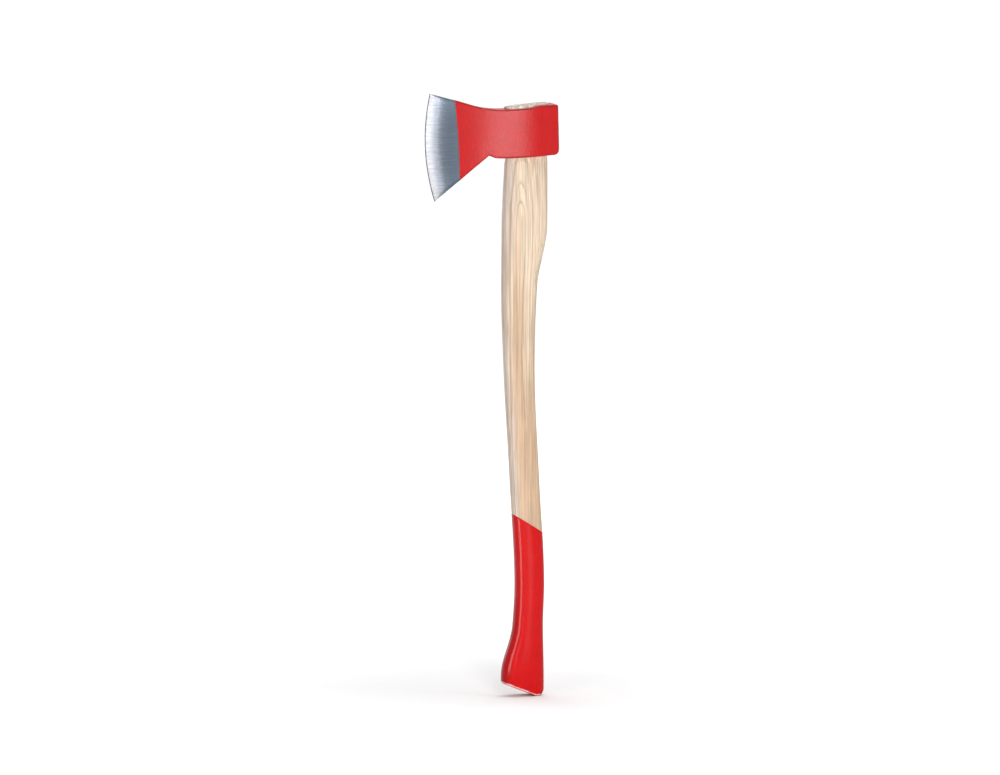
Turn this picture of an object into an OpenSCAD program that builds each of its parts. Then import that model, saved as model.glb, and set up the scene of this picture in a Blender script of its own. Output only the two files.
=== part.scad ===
// Long-handled single-bit axe: a forged head wedged onto an ash handle.
// Millimetres, +Z up along the handle, cutting edge towards -X.
// The origin lies under the middle of the head's length, at the lowest point of the butt.

/* [Handle] */
// Height of the handle, from the underside of its painted butt to the sawn top
handle_l = 800; // [700:1:900]
// Butt: how far its toe lies in front of the eye's centreline
butt_front = 34; // [30:0.5:38]
// Butt: how far its heel lies behind the eye's centreline
butt_rear = 24; // [21:0.5:28]
// Butt: thickness from cheek to cheek
butt_w = 31; // [27:0.5:36]
// Butt: height of the straight foot above the floor
butt_h = 27; // [24:1:36]
// Butt: slope of its sawn end, in degrees
butt_slope = 22; // [16:0.5:26]
// Butt: radius of the heel, seen from the side
heel_r = 11.5; // [8:0.5:14]
// Butt: radius of the rounded edge round its end
butt_edge_r = 2.5; // [1:0.1:4]
// Throat above the butt: height
throat_z = 95; // [80:1:110]
// Throat: front edge ahead of the eye's centreline
throat_front = 18; // [16:0.5:22]
// Throat: rear edge behind the eye's centreline
throat_rear = 23; // [20:0.5:26]
// Grip: height of its middle
grip_z = 150; // [135:1:170]
// Grip: front edge ahead of the eye's centreline
grip_front = 15; // [13:0.5:19]
// Grip: rear edge behind the eye's centreline
grip_rear = 24.7; // [22:0.1:27]
// Grip: thickness from cheek to cheek
grip_w = 27.5; // [24:0.5:31]
// Bend between grip and waist: front edge ahead of the eye's centreline
bend_front = 22.5; // [19:0.5:26]
// Bend: rear edge behind the eye's centreline
bend_rear = 17.5; // [15:0.5:21]
// Waist: distance below the eye
waist_drop = 281; // [240:1:320]
// Waist: front edge ahead of the eye's centreline
waist_front = 31; // [28:0.5:34]
// Waist: rear edge behind the eye's centreline
waist_rear = 11.4; // [9:0.1:14]
// Waist: thickness from cheek to cheek
waist_w = 26; // [23:0.5:29]
// Root of the shoulder: distance below the eye
root_drop = 179; // [165:1:200]
// Root of the shoulder: front edge ahead of the eye's centreline
root_front = 34; // [31:0.5:37]
// Root of the shoulder: rear edge behind the eye's centreline
root_rear = 14.8; // [13:0.1:18]
// Shoulder: distance of its crest below the eye
shoulder_drop = 91; // [78:1:100]
// Shoulder: front edge ahead of the eye's centreline
shoulder_front = 33.4; // [31:0.1:36]
// Shoulder: rear edge behind the eye's centreline
shoulder_rear = 29.5; // [26:0.5:31]
// Shoulder: thickness from cheek to cheek
shoulder_w = 29; // [27:0.5:32]
// Neck: distance of the handle's seat below the eye
neck_drop = 9; // [6:0.5:14]
// Neck: how far the seat stands out past the eye, all round
neck_lip = 1.2; // [0.5:0.1:2]
// Squareness of the handle's section: 2 is an ellipse, more is squarer
section_n = 2.7; // [2.2:0.1:3.4]

/* [Grip paint] */
// Height of the paint line where it crosses the eye's centreline
paint_z = 234; // [200:1:260]
// Slope of the paint line, falling to the rear, in degrees
paint_slope = 32; // [10:1:38]
// Thickness of the paint on the grip and on the head
paint_t = 0.25; // [0.15:0.05:0.5]

/* [Head] */
// Length of the painted head, from the foremost point of the cutting edge to the poll
head_l = 185; // [175:1:195]
// Distance from the eye's lower rim up to the handle's sawn top, at its highest
head_drop = 71; // [70:0.5:76]
// Height of the toe of the cutting edge above the eye's lower rim
toe_h = 88; // [82:0.5:94]
// Depth of the heel of the cutting edge below the eye's lower rim
heel_d = 57.5; // [50:0.5:64]
// How far the toe lies behind the foremost point of the edge
toe_back = 7; // [4:0.5:9]
// How far the heel lies behind the foremost point of the edge
heel_back = 13.5; // [11:0.5:17]
// Length of the ground bevel behind the cutting edge
bevel_l = 8; // [5:0.5:12]
// Thickness of the bit where the bevel ends
bevel_t = 4; // [3:0.1:5]
// Thickness of the cutting edge itself
edge_t = 0.3; // [0.2:0.1:0.6]
// Length of bare steel behind the foremost point of the edge
bare_l = 44; // [35:0.5:48]
// How far the paint line on the head leans forward from bottom to top
bare_lean = 7; // [0:0.5:10]
// How far the middle of that paint line bows to the rear
bare_bow = 1.5; // [0:0.5:4]
// Thickness of the bit at the paint line
bit_t = 11.5; // [9:0.5:14]
// How much thicker the convex grind makes the middle of the bit than straight sides would
bit_belly = 0.3; // [0:0.1:1.5]
// Height of the top line at the paint line above the eye's lower rim
brow_h = 78.5; // [74:0.5:82]
// Height of the top line in its dip in front of the eye above the eye's lower rim
dip_h = 63.8; // [61:0.1:67]
// How far the top line has risen from the dip over the notch and over the middle of the eye
dip_rise = 1.6; // [0:0.1:3]
// Distance of the notch under the head in front of the eye
notch_gap = 25; // [20:0.5:28]
// Height of the notch above the eye's lower rim
notch_h = 2.6; // [1:0.1:4]
// Length of the notch, from the beard to the lip in front of the eye
notch_l = 20; // [15:0.5:22]
// Thickness of the head at its widest
cheek_t = 37; // [34:0.5:42]
// How far behind the middle of the eye the head is widest
wide_back = 12; // [0:0.5:16]
// How near the eye the cheeks begin to swell: 1 is evenly, more is nearer
swell = 1.3; // [1:0.1:1.6]
// Thickness of the head at the poll
poll_w = 31; // [28:0.5:35]
// Height of the poll
poll_h = 67; // [63:0.5:70]
// Steel behind the eye
poll_t = 14; // [11:0.5:17]
// How far the top of the poll leans forward
poll_lean = 1.5; // [0:0.5:4]
// Radius of the poll's lower corner, seen from the side
poll_corner_r = 7; // [4:0.5:9]
// Radius of the poll's other edges
poll_edge_r = 2.5; // [1:0.5:4]
// Rounding of the head's upper and lower edges
rim_r = 2; // [1:0.5:3]

/* [Eye and wedges] */
// Length of the eye at its lower rim
eye_l = 57; // [53:0.5:60]
// Width of the eye at its lower rim
eye_w = 22; // [20:0.5:24]
// How far each wall of the eye flares out, from its lower rim to the dip in the top line
eye_flare = 1.5; // [0.5:0.1:2.5]
// Slope of the eye's lower rim, rising to the rear, in degrees
rim_slope = 2.2; // [1:0.1:6]
// Slope of the handle's sawn top, rising to the rear, in degrees
top_slope = 4.5; // [3:0.5:8]
// Clearance between the handle and the eye
eye_clear = 0.1; // [0.05:0.05:0.3]
// Room that the wooden wedge leaves at each end of the eye
wedge_end_gap = 1.5; // [1:0.1:4]
// Thickness of the wooden wedge at the sawn top
wedge_t = 6.5; // [5:0.1:8]
// Thickness of the wooden wedge at its tip
wedge_tip_t = 1.8; // [1:0.1:3]
// Depth of the wooden wedge
wedge_d = 46; // [40:1:52]
// Depth of the saw kerf below the wedge's tip
kerf_spare = 5; // [2:1:10]
// Distance between the two steel wedges
steel_gap = 27; // [22:0.5:32]
// Wood left beside a steel wedge on each side
steel_side = 2; // [1.5:0.1:4]
// Thickness of a steel wedge at its head
steel_t = 4; // [3:0.1:5]
// Thickness of a steel wedge at its tip
steel_tip_t = 0.8; // [0.5:0.1:1.2]
// Length of a steel wedge
steel_l = 28; // [22:1:34]
// How far a steel wedge stands out of the wood
steel_proud = 0.8; // [0.2:0.1:1.5]
// Clearance round the wedges
wedge_clear = 0.05; // [0.02:0.01:0.1]

/* [Hidden] */

red = "#d8232a";
ash = "#e3cdab";

// Points round a section of the handle and of the eye
ring_n = 32;
// Rings up the painted grip and up the bare shaft
grip_steps = 18;
shaft_steps = 30;
// Points round each corner of the head's section, and up its cheek
corner_n = 3;
cheek_n = 4;
// More than the size of anything that a cut goes through
past = 200;

eye_z = handle_l - head_drop;
edge_x = -head_l / 2;
poll_x = head_l / 2 - paint_t;
eye_rear_x = poll_x - poll_t;
eye_x = eye_rear_x - eye_l / 2;
eye_front_x = eye_x - eye_l / 2;
wedge_l = eye_l - 2 * wedge_end_gap;
steel_w = eye_w - 2 * steel_side;

function lerp(a, b, u) = a + (b - a) * u;

// Share of a smooth start and stop at share u
function ease(u) = u <= 0 ? 0 : u >= 1 ? 1 : u ^ 2 * (3 - 2 * u);

// Slope of column c between rows i and i + 1 of a table, where column 0 is the place of the row
function rise(table, i, c) = (table[i + 1][c] - table[i][c]) / (table[i + 1][0] - table[i][0]);

// Slope of a curve through column c at row i, level where the column turns back
function slope(table, i, c) =
    i == 0 ? rise(table, 0, c) :
    i == len(table) - 1 ? rise(table, i - 1, c) :
    let (a = rise(table, i - 1, c), b = rise(table, i, c))
    a * b <= 0 ? 0 : 2 * a * b / (a + b);

// Smooth curve through column c of a table, at place p
function through(table, p, c, i = 0) =
    p > table[i + 1][0] && i < len(table) - 2 ? through(table, p, c, i + 1) :
    let (
        step = table[i + 1][0] - table[i][0],
        u = (p - table[i][0]) / step,
        a = table[i][c],
        b = table[i + 1][c],
        ta = slope(table, i, c) * step,
        tb = slope(table, i + 1, c) * step
    )
    a + ta * u + (3 * (b - a) - 2 * ta - tb) * u ^ 2 + (ta + tb - 2 * (b - a)) * u ^ 3;

// Coordinate of a squared ellipse of unit half size, from the cosine or sine of its angle
function squared(s) = sign(s) * abs(s) ^ (2 / section_n);

// How far an edge of radius r has drawn in at distance d from the face that it rounds to
function drawn_in(r, d) = d >= r ? 0 : r - sqrt(r ^ 2 - (r - d) ^ 2);

// A closed solid over a row of rings, each with the same even number of points, that turn
// anticlockwise seen from the last ring. Strips between opposite points close its two ends.
module skin(rings) {
    n = len(rings[0]);
    last = (len(rings) - 1) * n;
    sides = [
        for (i = [0 : len(rings) - 2], k = [0 : n - 1])
            let (a = i * n + k, b = i * n + (k + 1) % n)
            each [[a, b + n, b], [a, a + n, b + n]]
    ];
    function strips(first, turn) = [
        for (k = [0 : n / 2 - 2])
            let (a = first + k, b = first + n - 1 - k)
            each turn ? [[a, b, b - 1], [a, b - 1, a + 1]] : [[a, b - 1, b], [a, a + 1, b - 1]]
    ];
    polyhedron(
        points = [for (ring = rings) each ring],
        faces = concat(sides, strips(0, false), strips(last, true))
    );
}

// Handle

// Side outline: height, front edge and rear edge from the eye's centreline, thickness
bend_z = (grip_z + eye_z - waist_drop) / 2;
outline = [
    [0, -butt_front, butt_rear, butt_w],
    [butt_h, -butt_front, butt_rear, butt_w],
    [throat_z, -throat_front, throat_rear, lerp(grip_w, butt_w, 0.2)],
    [grip_z, -grip_front, grip_rear, grip_w],
    [bend_z, -bend_front, bend_rear, lerp(grip_w, waist_w, 0.5)],
    [eye_z - waist_drop, -waist_front, waist_rear, waist_w],
    [eye_z - root_drop, -root_front, root_rear, lerp(waist_w, shoulder_w, 0.4)],
    [eye_z - shoulder_drop, -shoulder_front, shoulder_rear, shoulder_w],
    [eye_z - neck_drop, -eye_l / 2 - neck_lip, eye_l / 2 + neck_lip, eye_w + 2 * neck_lip],
];

// Point k of the handle's surface at height z, drawn in by inset
function wood_point(k, z, inset = 0) =
    let (
        angle = 360 * (k + 0.5) / ring_n,
        front = through(outline, z, 1) + inset,
        rear = through(outline, z, 2) - inset,
        half_w = through(outline, z, 3) / 2 - inset
    )
    [eye_x + (front + rear) / 2 + (rear - front) / 2 * squared(cos(angle)), half_w * squared(sin(angle)), z];

// Point k of the eye's wall at height z, drawn in by inset
function eye_wall(k, z, inset = 0) =
    let (
        angle = 360 * (k + 0.5) / ring_n,
        flare = eye_flare * (z - eye_z) / dip_h - inset
    )
    [eye_x + (eye_l / 2 + flare) * squared(cos(angle)), (eye_w / 2 + flare) * squared(sin(angle)), z];

// Height of the butt's end below x: a sloping saw cut that turns up round the heel
heel_x = eye_x + butt_rear;
heel_turn_x = heel_x - heel_r - heel_r * sin(butt_slope);
function butt_z(x) =
    let (
        turn_z = heel_r - heel_r * cos(butt_slope),
        arc_z = heel_r - sqrt(max(heel_r ^ 2 - (x - heel_x + heel_r) ^ 2, 0))
    )
    paint_t + (x < heel_turn_x ? turn_z + (heel_turn_x - x) * tan(butt_slope) : arc_z);

// Height of the paint line, of the head's underside and of the sawn top at x
function paint_line(x) = paint_z - (x - eye_x) * tan(paint_slope);
function rim_z(x) = eye_z + (x - eye_x) * tan(rim_slope);
function top_z(x) = handle_l - (eye_rear_x - x) * tan(top_slope);

// Ring j of the painted grip, from the edge of the butt's end up to the paint line
edge_rings = [0, 0.12, 0.4, 1];
grip_rings = len(edge_rings) + grip_steps;
function grip_point(j, k, grow = 0) =
    let (
        edge = j < len(edge_rings),
        rise = edge ? butt_edge_r * edge_rings[j] : butt_edge_r,
        inset = drawn_in(butt_edge_r, rise),
        foot = wood_point(k, 0, inset - grow),
        under = edge ? grow * (1 - edge_rings[j]) : 0,
        low = butt_z(wood_point(k, 0, inset).x) + rise - under,
        high = paint_line(wood_point(k, paint_line(foot.x)).x),
        u = (j - len(edge_rings) + 1) / grip_steps
    )
    edge ? [foot.x, foot.y, low] : wood_point(k, lerp(low, high, u), -grow);

function grip_ring(j, grow = 0) = [for (k = [0 : ring_n - 1]) grip_point(j, k, grow)];

// Ring of the bare shaft, at share u of the way from the paint line to the seat under the head
function shaft_ring(u) = [
    for (k = [0 : ring_n - 1])
        let (
            low = grip_point(grip_rings - 1, k).z,
            high = rim_z(eye_wall(k, eye_z).x) - neck_drop
        )
        wood_point(k, lerp(low, high, u))
];

// Ring of the tongue inside the eye, at share u of the way from the head's underside to the sawn top
function tongue_ring(u) = [
    for (k = [0 : ring_n - 1])
        let (x = eye_wall(k, eye_z).x, low = rim_z(x) - rim_r / 2, high = top_z(x))
        eye_wall(k, lerp(low, high, u), eye_clear)
];

module handle() color(ash)
    difference() {
        skin(concat(
            [for (j = [0 : grip_rings - 1]) grip_ring(j)],
            [for (i = [1 : shaft_steps]) shaft_ring(i / shaft_steps)],
            [for (u = [0, 0.5, 1]) tongue_ring(u)]
        ));
        wedge_prism(kerf_spare, past, 0);
        for (side = [-1, 1]) steel_wedge(side, wedge_clear);
    }

module grip_paint() color(red)
    skin(concat(
        [for (j = [0 : grip_rings - 1]) grip_ring(j, paint_t)],
        [for (j = [0 : grip_rings - 1]) grip_ring(grip_rings - 1 - j)]
    ));

// Wedges

// Wedge-shaped prism along the eye, from its tip up past the sawn top.
// It is longer at the tip by spare, runs for length along X, and is thinner on each side by clear.
module wedge_prism(spare, length, clear) {
    tip_z = top_z(eye_x) - wedge_d;
    rise = past / 4;
    grow = (wedge_t - wedge_tip_t) / 2 / wedge_d * rise;
    tip = wedge_tip_t / 2 - clear;
    translate([eye_x, 0, tip_z])
        rotate([90, 0, 90])
            linear_extrude(length, center = true)
                polygon([
                    [-tip, -spare], [tip, -spare], [tip, 0],
                    [tip + grow, rise], [-tip - grow, rise], [-tip, 0]
                ]);
}

// What lies below the sawn top, as a slab along Y
module below_sawn_top()
    rotate([90, 0, 0])
        linear_extrude(past, center = true)
            polygon([
                [eye_x - past, eye_z - past], [eye_x + past, eye_z - past],
                [eye_x + past, top_z(eye_x + past)], [eye_x - past, top_z(eye_x - past)]
            ]);

module wooden_wedge() color(ash)
    difference() {
        intersection() {
            wedge_prism(0, wedge_l, wedge_clear);
            below_sawn_top();
        }
        for (side = [-1, 1]) steel_wedge(side, wedge_clear);
    }

// Steel wedge across the eye, in front of its middle (-1) or behind it (1), grown by clear
module steel_wedge(side, clear) {
    x = eye_x + side * steel_gap / 2;
    head_half = steel_t / 2 + clear;
    tip_half = steel_tip_t / 2 + clear;
    translate([x, 0, top_z(x) + steel_proud])
        rotate([90, 0, 0])
            linear_extrude(steel_w + 2 * clear, center = true)
                polygon([
                    [-head_half, 0], [-tip_half, -steel_l - clear],
                    [tip_half, -steel_l - clear], [head_half, 0]
                ]);
}

module front_steel_wedge() color("gray") steel_wedge(-1, 0);
module rear_steel_wedge() color("gray") steel_wedge(1, 0);

// Head

toe_x = edge_x + toe_back;
heel_edge_x = edge_x + heel_back;
bare_top_x = edge_x + bare_l - bare_lean / 2;
bare_bottom_x = edge_x + bare_l + bare_lean / 2;
notch_x = eye_front_x - notch_gap;
beard_x = notch_x - notch_l / 4;
lip_x = beard_x + notch_l;
poll_top_z = rim_z(poll_x) + poll_h;
// Bow that brings the foremost point of the edge to the length of the head
edge_bow = ((sqrt(toe_back) + sqrt(heel_back)) / 2) ^ 2;

// Top line and bottom line of the head, seen from the side: x, height
top_line = [
    [toe_x, eye_z + toe_h],
    [bare_top_x, eye_z + brow_h],
    [notch_x, eye_z + dip_h + dip_rise],
    [(lip_x + eye_front_x) / 2, eye_z + dip_h],
    [eye_x, eye_z + dip_h + dip_rise],
    [lerp(eye_x, eye_rear_x, 0.6), poll_top_z],
    [poll_x, poll_top_z],
];
bottom_line = [
    [heel_edge_x, eye_z - heel_d],
    [beard_x, eye_z - notch_h / 2],
    [notch_x, eye_z + notch_h],
    [(notch_x + lip_x) / 2, lerp(rim_z(lip_x), eye_z + notch_h, 0.2)],
    [lip_x, rim_z(lip_x)],
    [poll_x, rim_z(poll_x)],
];

// Thickness of the head at x, behind the paint line: thin cheeks that swell round the eye
wide_x = eye_x + wide_back;
function cheek(x) =
    let (front = max(x - edge_x - bare_l, 0) / (wide_x - edge_x - bare_l))
    x < wide_x ? lerp(bit_t, cheek_t, ease(front ^ swell))
        : lerp(cheek_t, poll_w, ease((x - wide_x) / (poll_x - wide_x)));

// Stations along the head: top x, bottom x, bow of the section, thickness
bevel_share = bevel_l / bare_l;
bit_stations = [
    for (u = [0, bevel_share / 2, bevel_share, 0.4, 0.6, 0.8, 1])
        let (v = (u - bevel_share) / (1 - bevel_share))
        [
            lerp(toe_x, bare_top_x, u), lerp(heel_edge_x, bare_bottom_x, u), lerp(edge_bow, -bare_bow, u),
            u < bevel_share ? lerp(edge_t, bevel_t, u / bevel_share)
                : lerp(bevel_t, bit_t, v) + 4 * bit_belly * v * (1 - v)
        ]
];
cheek_stations = [
    for (u = [0.25, 0.5, 0.75, 1])
        [
            lerp(bare_top_x, beard_x, u), lerp(bare_bottom_x, beard_x, u), lerp(-bare_bow, 0, u),
            cheek(lerp(edge_x + bare_l, beard_x, u))
        ]
];
// The poll's edges round over within the last of these, at closer steps
poll_r = max(poll_corner_r, poll_edge_r);
eye_stations = [
    for (
        x = concat(
            [for (i = [1 : 8]) lerp(beard_x, lip_x, i / 8)],
            [for (i = [1 : 13]) lerp(lip_x, poll_x - poll_r, i / 13)],
            [for (a = [25, 45, 60, 75, 90]) poll_x - poll_r * (1 - sin(a))]
        )
    )
        [x - poll_lean * ease((x - eye_x) / (poll_x - eye_x)), x, 0, cheek(x)]
];
painted_stations = concat([bit_stations[len(bit_stations) - 1]], cheek_stations, eye_stations);

// Half of the head's section at a station, from its lower edge to its upper edge, grown by grow.
// The near half is the same with y turned round.
function half_section(station, grow) =
    let (
        top = [station[0], through(top_line, station[0], 1)],
        bottom = [station[1], through(bottom_line, station[1], 1)],
        bow = station[2],
        back = poll_x - bottom.x,
        half = station[3] / 2 - drawn_in(poll_edge_r, back) + grow,
        tall = norm(top - bottom),
        low = drawn_in(poll_corner_r, back) - grow,
        high = tall - drawn_in(poll_edge_r, back) + grow,
        r = min(rim_r, half * 0.9) + grow,
        arc = [for (i = [0 : corner_n]) 90 * i / corner_n],
        profile = concat(
            [for (a = arc) [half - r + r * sin(a), low + r - r * cos(a)]],
            [for (i = [1 : cheek_n]) [half, lerp(low + r, high - r, i / (cheek_n + 1))]],
            [for (a = arc) [half - r + r * cos(a), high - r + r * sin(a)]]
        ),
        out = back == 0 ? grow : 0
    )
    [
        for (point = profile)
            let (q = point.y / tall)
            [
                lerp(bottom.x, top.x, q) - bow * 4 * q * (1 - q) + out,
                point.x,
                lerp(bottom.y, top.y, q)
            ]
    ];

function head_ring(station, grow = 0) =
    let (far = half_section(station, grow), n = len(far))
    concat(far, [for (i = [1 : n]) [far[n - i].x, -far[n - i].y, far[n - i].z]]);

// The eye's hole, wider than its wall by grow
module eye_hole(grow)
    skin([
        for (z = [eye_z - past / 4, eye_z + past / 2])
            [for (k = [0 : ring_n - 1]) eye_wall(k, z, -grow)]
    ]);

module head() color("silver")
    difference() {
        skin([for (station = concat(bit_stations, cheek_stations, eye_stations)) head_ring(station)]);
        eye_hole(0);
    }

module head_paint() color(red)
    difference() {
        skin(concat(
            [for (i = [len(painted_stations) - 1 : -1 : 0]) head_ring(painted_stations[i])],
            [for (station = painted_stations) head_ring(station, paint_t)]
        ));
        eye_hole(paint_t);
    }

head();
head_paint();
handle();
grip_paint();
wooden_wedge();
front_steel_wedge();
rear_steel_wedge();
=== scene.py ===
"""Long-handled single-bit axe: gives its packed solids their finish and sets them in a studio."""

import math

import bmesh
import bpy
import numpy as np
from bpy.props import FloatProperty, FloatVectorProperty, PointerProperty
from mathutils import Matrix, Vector, kdtree, noise


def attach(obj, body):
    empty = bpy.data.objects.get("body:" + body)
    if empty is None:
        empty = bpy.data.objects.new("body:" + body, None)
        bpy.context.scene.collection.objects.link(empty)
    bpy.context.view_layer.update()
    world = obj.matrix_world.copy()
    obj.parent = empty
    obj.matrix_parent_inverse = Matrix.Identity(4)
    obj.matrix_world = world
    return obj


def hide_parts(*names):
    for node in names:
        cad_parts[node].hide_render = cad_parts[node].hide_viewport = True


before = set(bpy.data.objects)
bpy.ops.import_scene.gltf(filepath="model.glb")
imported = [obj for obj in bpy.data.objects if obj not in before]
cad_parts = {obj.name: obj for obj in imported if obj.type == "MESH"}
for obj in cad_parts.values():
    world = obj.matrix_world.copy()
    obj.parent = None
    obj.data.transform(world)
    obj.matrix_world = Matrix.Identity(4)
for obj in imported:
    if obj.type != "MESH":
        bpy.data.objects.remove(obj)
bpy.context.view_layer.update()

bl_info = {
    "name": "Single-bit axe",
    "version": (1, 0, 0),
    "blender": (4, 5, 0),
    "location": "3D View > Sidebar > Axe",
    "description": "Builds the finished pieces of the axe round its packed solids, and its studio",
    "category": "Object",
}

MM = 0.001
BODY = "root"
PICTURE_W = 1000
SENSOR_MM = 36.0
WHITE = (1.0, 1.0, 1.0)
BLACK = (0.0, 0.0, 0.0)


# Sizes and colours that a user would change


def size(name, text, millimetres):
    return FloatProperty(
        name=name, description=text, default=millimetres * MM, precision=5, unit="LENGTH"
    )


def place(name, text, *millimetres):
    return FloatVectorProperty(
        name=name,
        description=text,
        size=len(millimetres),
        default=[m * MM for m in millimetres],
        precision=5,
        unit="LENGTH",
    )


def turn(name, text, degrees):
    return FloatProperty(
        name=name, description=text, default=math.radians(degrees), unit="ROTATION"
    )


def number(name, text, value):
    return FloatProperty(name=name, description=text, default=value, precision=4)


def colour(name, text, *rgb):
    return FloatVectorProperty(
        name=name, description=text, size=3, default=rgb, min=0.0, max=1.0, subtype="COLOR"
    )


HANDLE_STATIONS = ("butt", "throat", "grip", "bend", "waist", "root", "shoulder", "neck")
STATION_TEXT = "Height, front edge, rear edge and thickness, measured from the eye's centreline"


class AxeHandleSizes(bpy.types.PropertyGroup):
    """Sizes of the handle and of the paint on its grip"""

    butt: place("Butt", STATION_TEXT, 27, -34, 24, 31)
    throat: place("Throat", STATION_TEXT, 95, -18, 23, 28.2)
    grip: place("Grip", STATION_TEXT, 150, -15, 24.7, 27.5)
    bend: place("Bend", STATION_TEXT, 299, -22.5, 17.5, 26.75)
    waist: place("Waist", STATION_TEXT, 448, -31, 11.4, 26)
    root: place("Root of the shoulder", STATION_TEXT, 550, -34, 14.8, 27.2)
    shoulder: place("Shoulder", STATION_TEXT, 638, -33.4, 29.5, 29)
    neck: place("Neck", STATION_TEXT, 720, -29.7, 29.7, 24.4)
    neck_drop: size("Neck drop", "Distance of the seat below the head", 9)
    squareness: number("Squareness", "Exponent of the oval section: 2 is an ellipse", 2.7)
    butt_slope: turn("Butt slope", "Slope of the sawn end of the butt", 22)
    butt_edge: size("Butt edge", "Radius round the end of the butt", 2.5)
    heel_r: size("Heel radius", "Radius of the heel, seen from the side", 11.5)
    top_z: size("Sawn top", "Height of the sawn top at the rear of the eye", 800)
    top_slope: turn("Slope of the sawn top", "Rising to the rear", 4.5)
    paint_z: size("Paint line", "Height of the paint line at the eye's centreline", 234)
    paint_slope: turn("Slope of the paint line", "Falling to the rear", 32)
    paint_t: size("Paint thickness", "Thickness of the paint on grip and head", 0.25)
    bead: size("Paint bead", "Extra thickness of the paint just inside its edge", 0.12)
    uneven: size("Unevenness", "Depth of the waves that the shaping left in the wood", 0.1)


class AxeHeadSizes(bpy.types.PropertyGroup):
    """Sizes of the head. A point is its distance from the middle and its height"""

    toe: place("Toe", "Upper end of the cutting edge", -85.5, 817)
    heel: place("Heel", "Lower end of the cutting edge", -79, 671.5)
    edge_bow: size("Edge bow", "How far the cutting edge bows forward", 9.986)
    edge_half: size("Cutting edge", "Half thickness of the cutting edge", 0.1)
    hone: place("Honed edge", "Its width and the half thickness where it ends", 1.0, 0.5)
    bevel: place("Bevel", "Its width and the half thickness where it ends", 8, 2.0)
    bare_l: size("Bare steel", "Length of the bare bit", 44)
    bare_half: size("Bit at the paint line", "Half thickness of the bit there", 5.75)
    belly: size("Belly", "How far each convex side of the bit stands out at its middle", 0.15)
    bare_bow: size("Bow of the paint line", "To the rear", 1.5)
    brow: place("Brow", "Top line where the paint begins", -52, 807.5)
    bare_foot_x: size("Paint line's foot", "Where the paint line meets the beard", -45)
    notch_top: place("Top over the notch", "Top line over the notch", -3.75, 794.4)
    dip: place("Dip", "Lowest point of the top line", 16.25, 792.8)
    eye_top: place("Top over the eye", "Top line over the middle of the eye", 49.75, 794.4)
    poll_front: place("Front of the poll", "Where the top line has risen", 66.85, 797.633)
    poll_top: place("Top of the poll", "Upper rear corner", 92.25, 797.633)
    poll_foot: place("Foot of the poll", "Lower rear corner", 92.25, 730.633)
    lip: place("Lip", "Lower rim in front of the eye", 11.25, 727.521)
    notch_end: place("End of the notch", "Where the notch runs into the lip", 3.75, 728.337)
    notch: place("Notch", "Top of the notch under the head", -3.75, 731.6)
    beard: place("Beard", "Foot of the notch's front", -8.75, 727.7)
    cheek_half: size("Cheek", "Half thickness of the head over the eye", 18.5)
    poll_half: size("Poll", "Half thickness of the poll", 15.5)
    poll_lean: size("Poll lean", "How far the top of the poll leans forward", 1.5)
    poll_corner_r: size("Poll corner", "Radius of its lower corner, seen from the side", 7)
    poll_edge_r: size("Poll edges", "Radius of its other edges", 2.5)
    rim_r: size("Rims", "Radius of the upper and lower edges", 2)
    swell: number("Swell", "How near the eye the cheeks begin to swell", 1.3)
    widest_x: size("Widest point", "Where the head is thickest", 61.75)
    eye: place("Eye", "Length and width at its lower rim", 57, 22)
    eye_z: size("Eye height", "Height of the middle of its lower rim", 729)
    eye_h: size("Eye depth", "Height over which its walls flare", 63.8)
    eye_flare: size("Eye flare", "How far each wall flares out over that height", 1.5)
    uneven: size("Unevenness", "Depth of the waves that the forging left in the cheeks", 0.12)


class AxeWedgeSizes(bpy.types.PropertyGroup):
    """Sizes of the wedges in the eye"""

    depth: size("Wooden wedge", "Depth of the wooden wedge", 46)
    top_t: size("Wooden wedge, top", "Thickness at the sawn top", 6.5)
    tip_t: size("Wooden wedge, tip", "Thickness at its tip", 1.8)
    end_gap: size("End gap", "Room at each end of the wooden wedge", 1.5)
    kerf: size("Kerf", "Depth of the kerf below the wooden wedge", 5)
    steel_gap: size("Steel wedges", "Distance between the two steel wedges", 27)
    steel: place("Steel wedge", "Thickness, width and length", 4, 18, 28)
    steel_tip_t: size("Steel wedge, tip", "Thickness at its tip", 0.8)
    steel_proud: size("Steel wedge, head", "How far it stands out of the wood", 0.8)
    clear: size("Clearance", "Room round each wedge", 0.05)


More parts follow.
